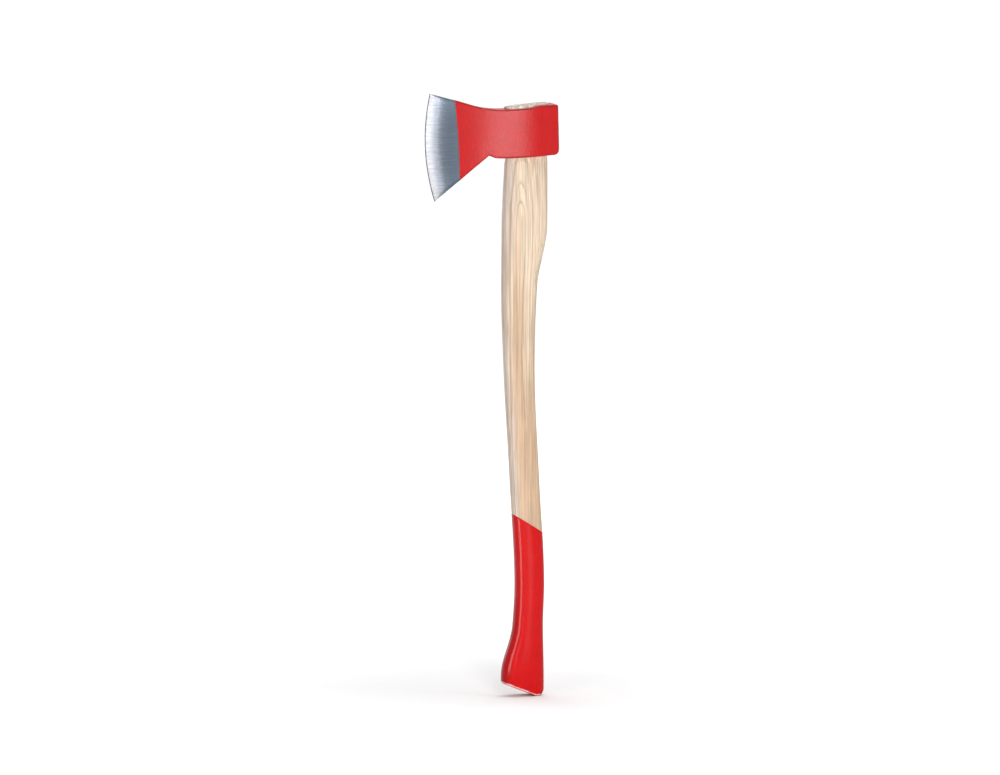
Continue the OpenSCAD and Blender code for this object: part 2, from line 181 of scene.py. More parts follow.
class AxeColours(bpy.types.PropertyGroup):
    """Colours of the finishes"""

    head_red: colour("Head enamel", "Red enamel on the head", 0.55, 0.004, 0.005)
    head_deep: colour("Head enamel, deep", "Red where the enamel lies thick", 0.475, 0.003, 0.004)
    grip_red: colour("Grip paint", "Red dip paint on the grip", 0.58, 0.004, 0.005)
    grip_deep: colour("Grip paint, deep", "Red where the dip paint lies thick", 0.53, 0.003, 0.004)
    # Painted shade: a darker red along the grip's front edge, where that face turns away from the
    # lamps
    grip_painted_shade: colour("Grip paint, front", "Red that hands have darkened", 0.26, 0.002, 0.004)
    cream: colour("Ash, late wood", "Pale wood between the rings", 0.815, 0.66, 0.50)
    peach: colour("Ash, warm wood", "Warmer streaks along the handle", 0.61, 0.42, 0.276)
    # Partly the grain that the front face shows, partly painted shade where that face turns from
    # the lamps
    ash_grey_and_shade: colour("Ash, grey wood", "Greyer wood along its front", 0.645, 0.545, 0.485)
    tan: colour("Ash, early wood", "Porous wood along the rings", 0.46, 0.325, 0.215)
    pore: colour("Ash, pores", "Open pores", 0.28, 0.19, 0.12)
    sawn: colour("Ash, sawn end", "Pale dust on the sawn end of the handle", 0.80, 0.77, 0.72)
    wedge_pale: colour("Wedge wood", "Pale wood of the wooden wedge", 0.66, 0.50, 0.32)
    wedge_dark: colour("Wedge wood, rings", "Rings of the wooden wedge", 0.40, 0.27, 0.15)
    edge: colour("Cutting edge", "Dark line of the honed cutting edge", 0.05, 0.05, 0.06)
    # From the bright bevel to the dark rear, the bit's tones are partly its own finish and partly
    # painted reflection
    honed: colour("Honed steel", "Bright steel along the bevel", 0.275, 0.28, 0.295)
    steel: colour("Ground steel", "Bare steel of the bit behind its bevel", 0.135, 0.146, 0.170)
    steel_deep: colour("Ground steel, rear", "Bare steel near the paint line", 0.108, 0.134, 0.170)
    steel_dark: colour("Wedge steel, marks", "Deeper marks in the small wedges", 0.24, 0.25, 0.27)
    wedge_steel: colour("Wedge steel", "Steel of the small wedges", 0.36, 0.37, 0.38)
    # Partly chipped enamel, partly painted shade along the head's lower rim
    wear_and_light: colour("Rubbed rim", "Dark primer on the rubbed rims of the head", 0.28, 0.006, 0.008)
    # Partly paint scuffed off the butt's edge, partly a painted highlight along it
    worn_and_highlit: colour("Worn butt", "Chalky paint where the edge of the butt is worn", 0.85, 0.52, 0.47)
    floor: colour("Floor", "Pale floor", 0.875, 0.875, 0.875)
    floor_bounce: colour("Floor bounce", "Light that it sends back up", 0.48, 0.48, 0.48)


class AxeStageSettings(bpy.types.PropertyGroup):
    """Camera and light"""

    azimuth: turn("Azimuth", "Side that the camera stands to, from straight in front", -18)
    elevation: turn("Elevation", "How far above level the camera looks down from", 7)
    distance: number("Distance", "Metres from the camera to the axe", 30.0)
    pixel: size("Pixel", "What one pixel of the picture spans at the axe", 1.342)
    aim: place("Aim", "Middle of the picture, to the right of and above the origin", 12.65, 415.0)
    key: number("Key light", "Watts of the tall soft box in front", 30.0)
    side: number("Side light", "Watts of the narrow soft box at the left", 2.2)
    right: number("Right light", "Watts of the wide soft box at the right", 4.5)
    strip: number("Strip light", "Watts of the narrow soft box at the right", 0.18)
    rear: number("Rear light", "Watts of the wide soft box behind", 18.0)
    sky: number("Overhead light", "Strength of the wide light from above", 1.7)
    fill: number("Fill", "Strength of the room's own light", 0.2)
    rear_fill: number("Rear fill", "How much stronger the room's light is from behind", 0.4)
    lift_near: number("Floor lift, near", "Light of the floor itself round the axe", 0.0)
    lift_far: number("Floor lift, far", "Light of the floor itself where the lamps fade out", 0.34)


# Curves


def lerp(a, b, u):
    return a + (b - a) * u


def ease(u):
    u = np.clip(u, 0, 1)
    return u * u * (3 - 2 * u)


def smooth_through(knots, places):
    """A curve through knots of place and height that never overshoots them."""
    x, y = np.array(knots, float).T
    places = np.asarray(places, float)
    rise = np.diff(y) / np.diff(x)
    before, after = rise[:-1], rise[1:]
    turns = before * after <= 0
    inner = np.where(turns, 0, 2 * before * after / np.where(turns, 1, before + after))
    slope = np.concatenate([rise[:1], inner, rise[-1:]])
    i = np.clip(np.searchsorted(x, places) - 1, 0, len(x) - 2)
    step = x[i + 1] - x[i]
    u = (places - x[i]) / step
    a, b = y[i], y[i + 1]
    ta, tb = slope[i] * step, slope[i + 1] * step
    return a + ta * u + (3 * (b - a) - 2 * ta - tb) * u**2 + (ta + tb - 2 * (b - a)) * u**3


def squared(s, exponent):
    return np.sign(s) * np.abs(s) ** (2 / exponent)


def drawn_in(r, d):
    """How far an edge of radius r has drawn in at distance d from the face that it rounds to."""
    inside = np.clip(r - np.asarray(d, float), 0, r)
    return r - np.sqrt(r**2 - inside**2)


def waves(points, size_xyz, depth):
    """Smooth unevenness at each point, with waves of the given sizes."""
    flat = points.reshape(-1, 3) / np.array(size_xyz)
    heights = np.array([noise.noise(Vector(p)) for p in flat.tolist()])
    return depth * heights.reshape(points.shape[:-1])


def edge_film(distance, thickness, bead):
    """Thickness of a coat of paint at a distance from its edge: a round edge with a low bead."""
    rounding, bead_place, bead_width = 0.5 * MM, 0.9 * MM, 0.6 * MM
    u = np.clip(distance / rounding, 0, 1)
    swell = np.exp(-(((distance - bead_place) / bead_width) ** 2))
    return thickness * np.sqrt(1 - (1 - u) ** 2) + bead * swell * u


class HandleForm:
    """Points on the handle, in metres, from its sizes and those of the eye."""

    around = 112

    def __init__(self, scene):
        self.sizes = scene.axe_handle
        self.head = scene.axe_head
        rows = np.array([list(getattr(self.sizes, name)) for name in HANDLE_STATIONS])
        foot = rows[:1].copy()
        foot[0, 0] = 0
        self.rows = np.vstack([foot, rows])
        self.eye_x = self.head.eye_top[0]
        self.angles = 2 * np.pi * (np.arange(self.around) + 0.5) / self.around
        self.across = squared(np.cos(self.angles), self.sizes.squareness)
        self.beside = squared(np.sin(self.angles), self.sizes.squareness)

    def wood(self, z, grow=0.0):
        """Ring on the wood at height z, which may differ from point to point."""
        z = np.broadcast_to(np.asarray(z, float), self.angles.shape)
        front, rear, width = (smooth_through(self.rows[:, [0, c]], z) for c in (1, 2, 3))
        half = (rear - front) / 2 + grow
        x = self.eye_x + (front + rear) / 2 + half * self.across
        y = (width / 2 + grow) * self.beside
        return np.stack([x, y, z], axis=-1)

    def eye(self, z, grow=0.0):
        """Ring on the wall of the eye at height z."""
        z = np.broadcast_to(np.asarray(z, float), self.angles.shape)
        flare = self.head.eye_flare * (z - self.head.eye_z) / self.head.eye_h + grow
        x = self.eye_x + (self.head.eye[0] / 2 + flare) * self.across
        y = (self.head.eye[1] / 2 + flare) * self.beside
        return np.stack([x, y, z], axis=-1)

    def toward_front(self, start, run):
        """1 along the handle's front edge, easing to 0 where its section has reached start."""
        return ease((start - self.across) / run)

    def butt_z(self, x):
        """Height of the butt's end below x: a sloping saw cut that turns up round the heel."""
        s = self.sizes
        heel_x = self.eye_x + s.butt[2]
        turn_x = heel_x - s.heel_r - s.heel_r * math.sin(s.butt_slope)
        turn_z = s.heel_r - s.heel_r * math.cos(s.butt_slope)
        arc = s.heel_r - np.sqrt(np.maximum(s.heel_r**2 - (x - heel_x + s.heel_r) ** 2, 0))
        slope = turn_z + (turn_x - x) * math.tan(s.butt_slope)
        return s.paint_t + np.where(x < turn_x, slope, arc)

    def paint_line(self, x):
        return self.sizes.paint_z - (x - self.eye_x) * math.tan(self.sizes.paint_slope)

    def rim_z(self, x):
        lip, foot = self.head.lip, self.head.poll_foot
        return lerp(lip[1], foot[1], (x - lip[0]) / (foot[0] - lip[0]))

    def top_z(self, x):
        rear_x = self.eye_x + self.head.eye[0] / 2
        return self.sizes.top_z - (rear_x - x) * math.tan(self.sizes.top_slope)

    def line_heights(self):
        """Height of the paint line at each point round the handle, closer with each round."""
        z = np.full(self.around, self.sizes.paint_z)
        rounds = 8
        for _ in range(rounds):
            z = self.paint_line(self.wood(z)[:, 0])
        return z

    def butt_rings(self, grow, shares):
        """Rings round the edge of the butt's end, from the end up to the straight foot."""
        edge = self.sizes.butt_edge
        rings = []
        for share in shares:
            inset = float(drawn_in(edge, edge * share))
            ring = self.wood(0, grow - inset)
            low = self.butt_z(self.wood(0, -inset)[:, 0]) + edge * share - grow * (1 - share)
            ring[:, 2] = low
            rings.append(ring)
        return rings

    def butt_cap(self, ring, grow, shares):
        """Rings inside the end of the butt, from its middle outwards."""
        middle_x = (ring[:, 0].min() + ring[:, 0].max()) / 2
        rings = []
        for share in shares:
            inner = ring.copy()
            inner[:, 0] = lerp(middle_x, ring[:, 0], share)
            inner[:, 1] *= share
            inner[:, 2] = self.butt_z(inner[:, 0]) - grow
            rings.append(inner)
        return rings

    def butt_shell(self, grow, insides, shares):
        """Rings over the whole end of the butt, from its middle up to the straight foot."""
        rings = self.butt_rings(grow, shares)
        return self.butt_cap(rings[0], grow, insides) + rings

    def grip_rings(self, grow, steps, short=0.0):
        """Rings from the straight foot up to the paint line, or to a little short of it."""
        low = self.butt_rings(0, [1.0])[0][:, 2]
        high = self.line_heights() - short
        return [self.wood(lerp(low, high, u), grow) for u in steps]

    def shaft_rings(self, steps):
        low = self.line_heights()
        high = self.rim_z(self.eye(self.head.eye_z)[:, 0]) - self.sizes.neck_drop
        return [self.wood(lerp(low, high, u)) for u in steps]

    def tongue_rings(self, steps, grow):
        x = self.eye(self.head.eye_z)[:, 0]
        low = self.rim_z(x) - self.head.rim_r / 2
        return [self.eye(lerp(low, self.top_z(x), u), grow) for u in steps]


class HeadForm:
    """Points on the head, in metres, from its sizes.

    A station is the top's x, the bottom's x, the bow between them and the half thickness.
    """

    # Points of a ring round each rim, up each cheek and across half its crown
    corner = 5
    rows = 30
    crown = 4
    # Largest share of the half thickness that the radius of a rim takes up
    most_rim = 0.9

    def __init__(self, scene):
        s = self.sizes = scene.axe_head
        self.top_line = [
            s.toe, s.brow, s.notch_top, s.dip, s.eye_top, s.poll_front, s.poll_top
        ]
        self.bottom_line = [s.heel, s.beard, s.notch, s.notch_end, s.lip, s.poll_foot]
        self.poll_x = s.poll_foot[0]
        self.line = np.array([s.brow[0], s.bare_foot_x, -s.bare_bow])
        self.line_x = (s.brow[0] + s.bare_foot_x) / 2

    def cheek(self, x):
        """Half thickness behind the paint line: thin cheeks that swell round the eye."""
        s = self.sizes
        widest = s.widest_x
        front = np.clip((x - self.line_x) / (widest - self.line_x), 0, 1) ** s.swell
        rear = (x - widest) / (self.poll_x - widest)
        return np.where(
            x < widest,
            lerp(s.bare_half, s.cheek_half, ease(front)),
            lerp(s.cheek_half, s.poll_half, ease(rear)),
        )

    def bit_shares(self):
        """Places of the stations between the cutting edge, 0, and the paint line, 1."""
        hone, bevel = (w / self.sizes.bare_l for w in (self.sizes.hone[0], self.sizes.bevel[0]))
        return np.concatenate(
            [
                np.linspace(0, hone, 4),
                np.linspace(hone, bevel, 9)[1:],
                np.linspace(bevel, 1, 30)[1:],
            ]
        )

    def bit_stations(self):
        """Stations from the cutting edge to the paint line."""
        s = self.sizes
        hone, bevel = s.hone[0] / s.bare_l, s.bevel[0] / s.bare_l
        knots = [(hone, s.hone[1]), (bevel, s.bevel[1]), (1, s.bare_half)]
        shares = self.bit_shares()
        v = np.clip((shares - bevel) / (1 - bevel), 0, 1)
        half = np.where(
            shares <= hone,
            lerp(s.edge_half, s.hone[1], shares / hone),
            smooth_through(knots, shares) + 4 * s.belly * v * (1 - v),
        )
        edge = np.array([s.toe[0], s.heel[0], s.edge_bow])
        return [(*lerp(edge, self.line, u), h) for u, h in zip(shares, half)]

    def cheek_stations(self, shares):
        """Stations from the paint line to the front of the notch."""
        beard_x = self.sizes.beard[0]
        half = self.cheek(lerp(self.line_x, beard_x, np.asarray(shares)))
        notch = np.array([beard_x, beard_x, 0])
        return [(*lerp(self.line, notch, u), h) for u, h in zip(shares, half)]

    def eye_stations(self):
        """Stations from the notch to the poll, closer together round the poll's edges."""
        s = self.sizes
        poll_r = max(s.poll_corner_r, s.poll_edge_r)
        eye_x = s.eye_top[0]
        bends = np.radians([10, 20, 30, 40, 50, 58, 66, 74, 82, 90])
        places = np.concatenate(
            [
                np.linspace(s.beard[0], s.lip[0], 21)[1:],
                np.linspace(s.lip[0], self.poll_x - poll_r, 46)[1:],
                self.poll_x - poll_r * (1 - np.sin(bends)),
            ]
        )
        lean = s.poll_lean * ease((places - eye_x) / (self.poll_x - eye_x))
        return [(x - d, x, 0.0, float(self.cheek(x))) for x, d in zip(places, lean)]

    def ring(self, station, grow=0.0):
        """Ring round the head at a station, from the middle of its underside."""
        s = self.sizes
        top_x, bottom_x, bow, half = station
        top = np.array([top_x, smooth_through(self.top_line, top_x)])
        bottom = np.array([bottom_x, smooth_through(self.bottom_line, bottom_x)])
        back = self.poll_x - bottom_x
        half = half - float(drawn_in(s.poll_edge_r, back)) + grow
        tall = np.linalg.norm(top - bottom)
        low = float(drawn_in(s.poll_corner_r, back)) - grow
        high = tall - float(drawn_in(s.poll_edge_r, back)) + grow
        r = min(s.rim_r, half * self.most_rim) + max(grow, 0)
        arc = np.linspace(0, np.pi / 2, self.corner + 1)
        middle = np.linspace(0, half - r, self.crown + 1)[:-1]
        sides = np.linspace(low + r, high - r, self.rows + 2)[1:-1]
        far = np.concatenate(
            [
                np.stack([middle, np.full(self.crown, low)], -1),
                np.stack([half - r + r * np.sin(arc), low + r - r * np.cos(arc)], -1),
                np.stack([np.full(self.rows, half), sides], -1),
                np.stack([half - r + r * np.cos(arc), high - r + r * np.sin(arc)], -1),
                np.stack([middle[::-1], np.full(self.crown, high)], -1),
            ]
        )
        near = far[-2:0:-1] * (-1, 1)
        section = np.concatenate([far, near])
        q = section[:, 1] / tall
        out = grow if back <= 0 else 0.0
        x = lerp(bottom[0], top[0], q) - bow * 4 * q * (1 - q) + out
        return np.stack([x, section[:, 0], lerp(bottom[1], top[1], q)], -1)

    def forged(self, rings):
        """The rings with the waves that the forging left in the cheeks."""
        rings = np.array(rings)
        wave_sizes, apart = (0.028, 0.028, 0.034), 0.05
        from_edge, from_middle = 40 * MM, 4 * MM
        side = np.sign(rings[..., 1])
        probe = rings.copy()
        probe[..., 1] = side * apart
        fade = ease((rings[..., 0] - self.sizes.toe[0]) / from_edge)
        full = ease(np.abs(rings[..., 1]) / from_middle)
        depth = waves(probe, wave_sizes, self.sizes.uneven)
        rings[..., 1] += side * full * fade * (depth - self.sizes.uneven)
        return rings


# Pieces

# How far a coat reaches into what it covers, and the distances of its rings from its edge
COAT_SINK = 0.02 * MM
COAT_STEPS = np.array([0, 0.05, 0.15, 0.3, 0.5, 0.8, 1.2, 1.8, 2.6]) * MM


def new_piece(name, points, faces):
    mesh = bpy.data.meshes.new(name)
    mesh.from_pydata([tuple(p) for p in points], [], faces)
    shell = bmesh.new()
    shell.from_mesh(mesh)
    bmesh.ops.recalc_face_normals(shell, faces=shell.faces)
    shell.to_mesh(mesh)
    shell.free()
    piece = bpy.data.objects.new(name, mesh)
    bpy.context.scene.collection.objects.link(piece)
    return piece


def lofted(name, rings, ends=("flat", "flat")):
    """Piece over a row of rings. Each end closes flat, or with a fan round its middle."""
    rings = np.asarray(rings)
    count, around = rings.shape[:2]
    points = rings.reshape(-1, 3)
    index = np.arange(count * around).reshape(count, around)
    onward = np.roll(index, -1, axis=1)
    quads = np.stack([index[:-1], onward[:-1], onward[1:], index[1:]], axis=-1)
    faces = quads.reshape(-1, 4).tolist()
    for ring, how in zip((index[0], index[-1]), ends):
        if how == "flat":
            faces.append(ring.tolist())
        else:
            middle = len(points)
            points = np.vstack([points, points[ring].mean(axis=0)])
            faces += [[middle, a, b] for a, b in zip(ring.tolist(), np.roll(ring, -1).tolist())]
    return new_piece(name, points, faces)


def cut(piece, cutters):
    """Cuts closed solids out of a piece and removes them."""
    for cutter in cutters:
        modifier = piece.modifiers.new(cutter.name, "BOOLEAN")
        modifier.operation = "DIFFERENCE"
        modifier.solver = "EXACT"
        modifier.object = cutter
    graph = bpy.context.evaluated_depsgraph_get()
    mesh = bpy.data.meshes.new_from_object(piece.evaluated_get(graph))
    piece.modifiers.clear()
    piece.data = mesh
    if not len(mesh.polygons):
        raise RuntimeError(f"{piece.name} was cut away")
    for cutter in cutters:
        bpy.data.objects.remove(cutter)


def smooth(piece, sharp_degrees=40):
    piece.data.shade_smooth()
    piece.data.set_sharp_from_angle(angle=math.radians(sharp_degrees))


def mark(piece, name, rings, values):
    """Gives each point of a piece the value of the nearest point of its rings."""
    points, values = rings.reshape(-1, 3), values.reshape(-1)
    tree = kdtree.KDTree(len(points))
    for i, p in enumerate(points.tolist()):
        tree.insert(p, i)
    tree.balance()
    found = [values[tree.find(v.co)[1]] for v in piece.data.vertices]
    layer = piece.data.attributes.new(name, "FLOAT", "POINT")
    layer.data.foreach_set("value", np.array(found, np.float32))


def deliver(piece, material, node):
    """Gives a finished piece its material and puts it in the place of its packed solid."""
    piece.data.materials.clear()
    piece.data.materials.append(material)
    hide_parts(node)
    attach(piece, BODY)


def steel_wedge_rings(handle, wedges, side, grow, top_rise, levels):
    """Rounded rings of a steel wedge, from its tip to its head."""
    x = handle.eye_x + side * wedges.steel_gap / 2
    thick, wide, tall = wedges.steel
    head_z = handle.top_z(x) + wedges.steel_proud + top_rise
    tip_z = handle.top_z(x) + wedges.steel_proud - tall - grow
    around, face_squareness, end_squareness = 64, 9, 24
    angles = 2 * np.pi * (np.arange(around) + 0.5) / around
    rings = []
    for share, inset in levels:
        z = lerp(tip_z, head_z, share)
        body = min(max((z - tip_z - grow) / tall, 0), 1)
        half_t = lerp(wedges.steel_tip_t, thick, body) / 2 + grow - inset
        half_w = wide / 2 + grow - inset
        ring = np.stack(
            [
                x + half_t * squared(np.cos(angles), face_squareness),
                half_w * squared(np.sin(angles), end_squareness),
                np.full(around, z),
            ],
            -1,
        )
        rings.append(ring)
    return rings


def wooden_wedge_rings(handle, wedges, grow, length, heights):
    """Rectangular rings of the wooden wedge or its kerf, from the tip up."""
    tip_z = handle.top_z(handle.eye_x) - wedges.depth
    along, beside = 24, 6
    half_l = length / 2
    rings = []
    for height in heights:
        z = tip_z + height
        share = max(height, 0) / wedges.depth
        half_t = lerp(wedges.tip_t, wedges.top_t, share) / 2 + grow
        x = np.linspace(-half_l, half_l, along + 1)
        y = np.linspace(-half_t, half_t, beside + 1)
        ring = np.concatenate(
            [
                np.stack([x[:-1], np.full(along, -half_t)], -1),
                np.stack([np.full(beside, half_l), y[:-1]], -1),
                np.stack([x[:0:-1], np.full(along, half_t)], -1),
                np.stack([np.full(beside, -half_l), y[:0:-1]], -1),
            ]
        )
        ring[:, 0] += handle.eye_x
        rings.append(np.column_stack([ring, np.full(len(ring), z)]))
    return rings


def wedge_slots(handle, wedges):
    """Cutters for the slots of the two steel wedges."""
    above = 6 * MM
    levels = [(0, 0.0), (1, 0.0)]
    rings = {
        side: steel_wedge_rings(handle, wedges, side, wedges.clear, above, levels)
        for side in (-1, 1)
    }
    return [lofted(f"slot_{side}", row) for side, row in rings.items()]


def shrunk(ring, shares):
    """Rings inside a flat end, each with a share of its size."""
    middle = ring.mean(axis=0)
    return np.array([lerp(middle, ring, share) for share in shares])


def eye_cutter(handle):
    """A solid that cuts the eye through the head."""
    reach = 60 * MM
    low, high = handle.head.eye_z - reach, handle.head.eye_z + 2 * reach
    return lofted("eye_cutter", [handle.eye(z) for z in (low, high)])


def whittled(form, rings):
    """The rings with the long waves that shaping left in the wood."""
    wave_sizes, kept = (0.022, 0.022, 0.11), 30 * MM
    fade_high, fade_low = 60 * MM, 40 * MM
    depth = waves(rings, wave_sizes, form.sizes.uneven)
    free = ease((form.head.eye_z - kept - rings[..., 2]) / fade_high)
    free = free * ease((rings[..., 2] - kept) / fade_low)
    depth = (depth - form.sizes.uneven) * free
    lines = rings[..., 2].mean(axis=1)
    front, rear = (smooth_through(form.rows[:, [0, c]], lines) for c in (1, 2))
    middle = form.eye_x + (front + rear) / 2
    out = np.stack([rings[..., 0] - middle[:, None], rings[..., 1]], -1)
    out /= np.maximum(np.linalg.norm(out, axis=-1, keepdims=True), 1e-9)
    moved = rings.copy()
    moved[..., :2] += out * depth[..., None]
    return moved


# Shader nodes


class Nodes:
    """A node tree, with short ways to add to it."""

    def __init__(self, tree):
        self.tree = tree

    def put(self, socket, value):
        """Links a socket to another, or gives it a constant."""
        if isinstance(value, bpy.types.NodeSocket):
            self.tree.links.new(value, socket)
        elif socket.type == "RGBA":
            socket.default_value = (*value, 1.0)
        else:
            socket.default_value = value

    def add(self, kind, inputs=(), **settings):
        """A new node with its settings, and with constants or links on its inputs."""
        node = self.tree.nodes.new("ShaderNode" + kind)
        for key, value in settings.items():
            setattr(node, key, value)
        for key, value in dict(inputs).items():
            self.put(node.inputs[key], value)
        return node

    def effect(self, name, builder, inputs):
        """A node group, built when it is first asked for and placed with its own values."""
        group = bpy.data.node_groups.get(name) or builder(name)
        return self.add("Group", inputs, node_tree=group).outputs

    def calc(self, operation, a, b=0.0, c=0.0):
        return self.add("Math", {0: a, 1: b, 2: c}, operation=operation).outputs[0]

    def times(self, value, *factors):
        for factor in factors:
            value = self.calc("MULTIPLY", value, factor)
        return value

    def weighed(self, a, a_share, b, b_share):
        return self.calc("MULTIPLY_ADD", a, a_share, self.calc("MULTIPLY", b, b_share))

    def vector(self, operation, a, b=BLACK):
        return self.add("VectorMath", {0: a, 1: b}, operation=operation).outputs

    def parts(self, vector):
        return self.add("SeparateXYZ", {0: vector}).outputs

    def turned(self, vector, angles):
        return self.add("Mapping", {"Vector": vector, "Rotation": angles}).outputs[0]

    def marked(self, name):
        """The value that each point of a piece was marked with."""
        return self.add("Attribute", attribute_name=name).outputs["Fac"]

    def shown(self):
        """1 for a ray from the camera, from gloss or through glass, and 0 for the rest."""
        path = self.add("LightPath").outputs
        seen = self.calc("MAXIMUM", path["Is Camera Ray"], path["Is Glossy Ray"])
        return self.calc("MAXIMUM", seen, path["Is Transmission Ray"])

    def mottle(self, vector, scale, detail=2.0, roughness=0.5):
        """Noise from 0 to 1 at a scale given in features per metre."""
        inputs = {"Vector": vector, "Scale": scale, "Detail": detail, "Roughness": roughness}
        return self.add("TexNoise", inputs).outputs["Fac"]

    def drawn_out(self, vector, across, along, detail=2.0, roughness=0.5):
        """Noise with its features per metre across the height and along it."""
        stretched = self.vector("MULTIPLY", vector, (across, across, along))["Vector"]
        return self.mottle(stretched, 1.0, detail, roughness)

    def remap(self, value, low, high, to_low=0.0, to_high=1.0, kind="LINEAR"):
        limits = {"From Min": low, "From Max": high, "To Min": to_low, "To Max": to_high}
        node = self.add("MapRange", {"Value": value, **limits}, interpolation_type=kind)
        return node.outputs["Result"]

    def step(self, value, low, high, to_low=0.0, to_high=1.0):
        return self.remap(value, low, high, to_low, to_high, "SMOOTHSTEP")

    def ramp(self, value, stops):
        """Grey value along a ramp of places and values."""
        node = self.add("ValToRGB", {"Fac": value})
        elements = node.color_ramp.elements
        while len(elements) < len(stops):
            elements.new(0.5)
        for element, (where, grey) in zip(elements, stops):
            element.position = where
            element.color = (grey, grey, grey, 1.0)
        return node.outputs["Color"]

    def blend(self, share, a, b, how="MIX"):
        """Colour b laid over colour a."""
        inputs = {0: share, 6: a, 7: b}
        return self.add("Mix", inputs, data_type="RGBA", blend_type=how).outputs[2]

    def shaded(self, tone, value):
        """A colour times a grey value."""
        grey = self.add("CombineColor", {0: value, 1: value, 2: value}).outputs[0]
        return self.blend(1.0, tone, grey, "MULTIPLY")


SOCKETS = {
    "value": "NodeSocketFloat", "vector": "NodeSocketVector", "colour": "NodeSocketColor"
}
FINISH = {"colour": ["Colour"], "value": ["Roughness", "Height"]}


def new_group(name, inputs, outputs):
    """An empty shader node group, with the sockets that it is given and those that it puts out."""
    tree = bpy.data.node_groups.new(name, "ShaderNodeTree")
    for way, kinds in (("INPUT", inputs), ("OUTPUT", outputs)):
        for kind, keys in kinds.items():
            for key in keys:
                tree.interface.new_socket(name=key, in_out=way, socket_type=SOCKETS[kind])
    given, out = tree.nodes.new("NodeGroupInput"), tree.nodes.new("NodeGroupOutput")
    return Nodes(tree), given.outputs, out.inputs


# Places along one year's ring, and how dark its porous early wood is there
RING_BAND = [(0, 0.55), (0.04, 1), (0.10, 0.8), (0.20, 0.25), (0.4, 0), (0.96, 0), (1, 0.55)]


def long_grain(name):
    """Wood as a solid: rings round a leaning pith, with streaks and pores along the grain."""
    n, given, out = new_group(
        name,
        {
            "vector": ["Vector", "Pith"],
            "value": ["Ring width", "Lean", "Greyness", "Sawn"],
            "colour": ["Late wood", "Warm wood", "Grey wood", "Early wood", "Pores", "Sawn wood"],
        },
        FINISH,
    )
    point, early_wood = given["Vector"], given["Early wood"]

    # Distance from the pith, which leans and wanders, counted in years
    wander = n.calc("SUBTRACT", n.drawn_out(point, 18, 2.2), 0.5)
    ripple = n.calc("SUBTRACT", n.drawn_out(point, 90, 8, 1.0), 0.5)
    shift = n.weighed(wander, 3.0 * MM, ripple, 0.7 * MM)
    offset = n.parts(n.vector("SUBTRACT", point, given["Pith"])["Vector"])
    beside = n.calc("SUBTRACT", offset["Y"], n.times(offset["Z"], given["Lean"]))
    squares = n.calc("MULTIPLY_ADD", beside, beside, n.times(offset["X"], offset["X"]))
    radius = n.calc("ADD", n.calc("SQRT", squares), shift)
    even = n.calc("DIVIDE", radius, given["Ring width"])
    inputs = {"W": even, "Scale": 0.31, "Detail": 1.0}
    seasons = n.add("TexNoise", inputs, noise_dimensions="1D").outputs["Fac"]
    rings = n.calc("MULTIPLY_ADD", seasons, 2.6, even)
    year = n.calc("FLOOR", rings)
    strength = n.add("TexWhiteNoise", {"W": year}, noise_dimensions="1D").outputs["Value"]

    # Lines of early wood, their pores, and strands between them
    fade = n.remap(n.drawn_out(point, 40, 5), 0.3, 0.65, 0.5, 1)
    line = n.times(
        n.ramp(n.calc("FRACT", rings), RING_BAND),
        n.remap(strength, 0, 1, 0.35, 1),
        fade,
        n.remap(given["Greyness"], 0, 1, 1, 1.9),
    )
    holes = n.drawn_out(point, 1700, 46, 1.0)
    pores = n.times(n.step(holes, 0.55, 0.66), line)
    threads = n.drawn_out(point, 300, 2.4, 1.0)
    apart = n.calc("ABSOLUTE", n.calc("SUBTRACT", threads, 0.5))
    strand = n.times(n.step(apart, 0.01, 0.07, 0.75, 0), fade)

    # Ground colour, warmer towards the grip
    drift = n.calc("ADD", n.drawn_out(point, 55, 2.1), 0.20)
    lower = n.calc("MULTIPLY_ADD", n.parts(point)["Z"], -0.40, drift)
    tone = n.blend(n.step(lower, 0.4, 0.62), given["Late wood"], given["Warm wood"])
    # Grey along the marked front: partly grain, partly painted shade
    tone = n.blend(given["Greyness"], tone, given["Grey wood"])
    tone = n.blend(given["Sawn"], tone, given["Sawn wood"])
    tone = n.blend(n.calc("MINIMUM", n.times(line, 1.3), 1.0), tone, early_wood)
    tone = n.blend(strand, tone, early_wood)
    tone = n.blend(n.times(pores, 0.7), tone, given["Pores"])

    fibres = n.drawn_out(point, 1100, 9)
    shade = n.times(
        n.remap(n.drawn_out(point, 330, 7, 2.0, 0.6), 0.3, 0.7, 0.84, 1.08),
        n.remap(fibres, 0.25, 0.75, 0.93, 1.06),
        n.remap(n.drawn_out(point, 130, 24), 0.3, 0.7, 0.91, 1.06),
    )
    n.put(out["Colour"], n.shaded(tone, shade))
    n.put(out["Roughness"], n.remap(line, 0, 1, 0.44, 0.60))
    n.put(out["Height"], n.weighed(pores, -1.0, fibres, 0.35))
    return n.tree


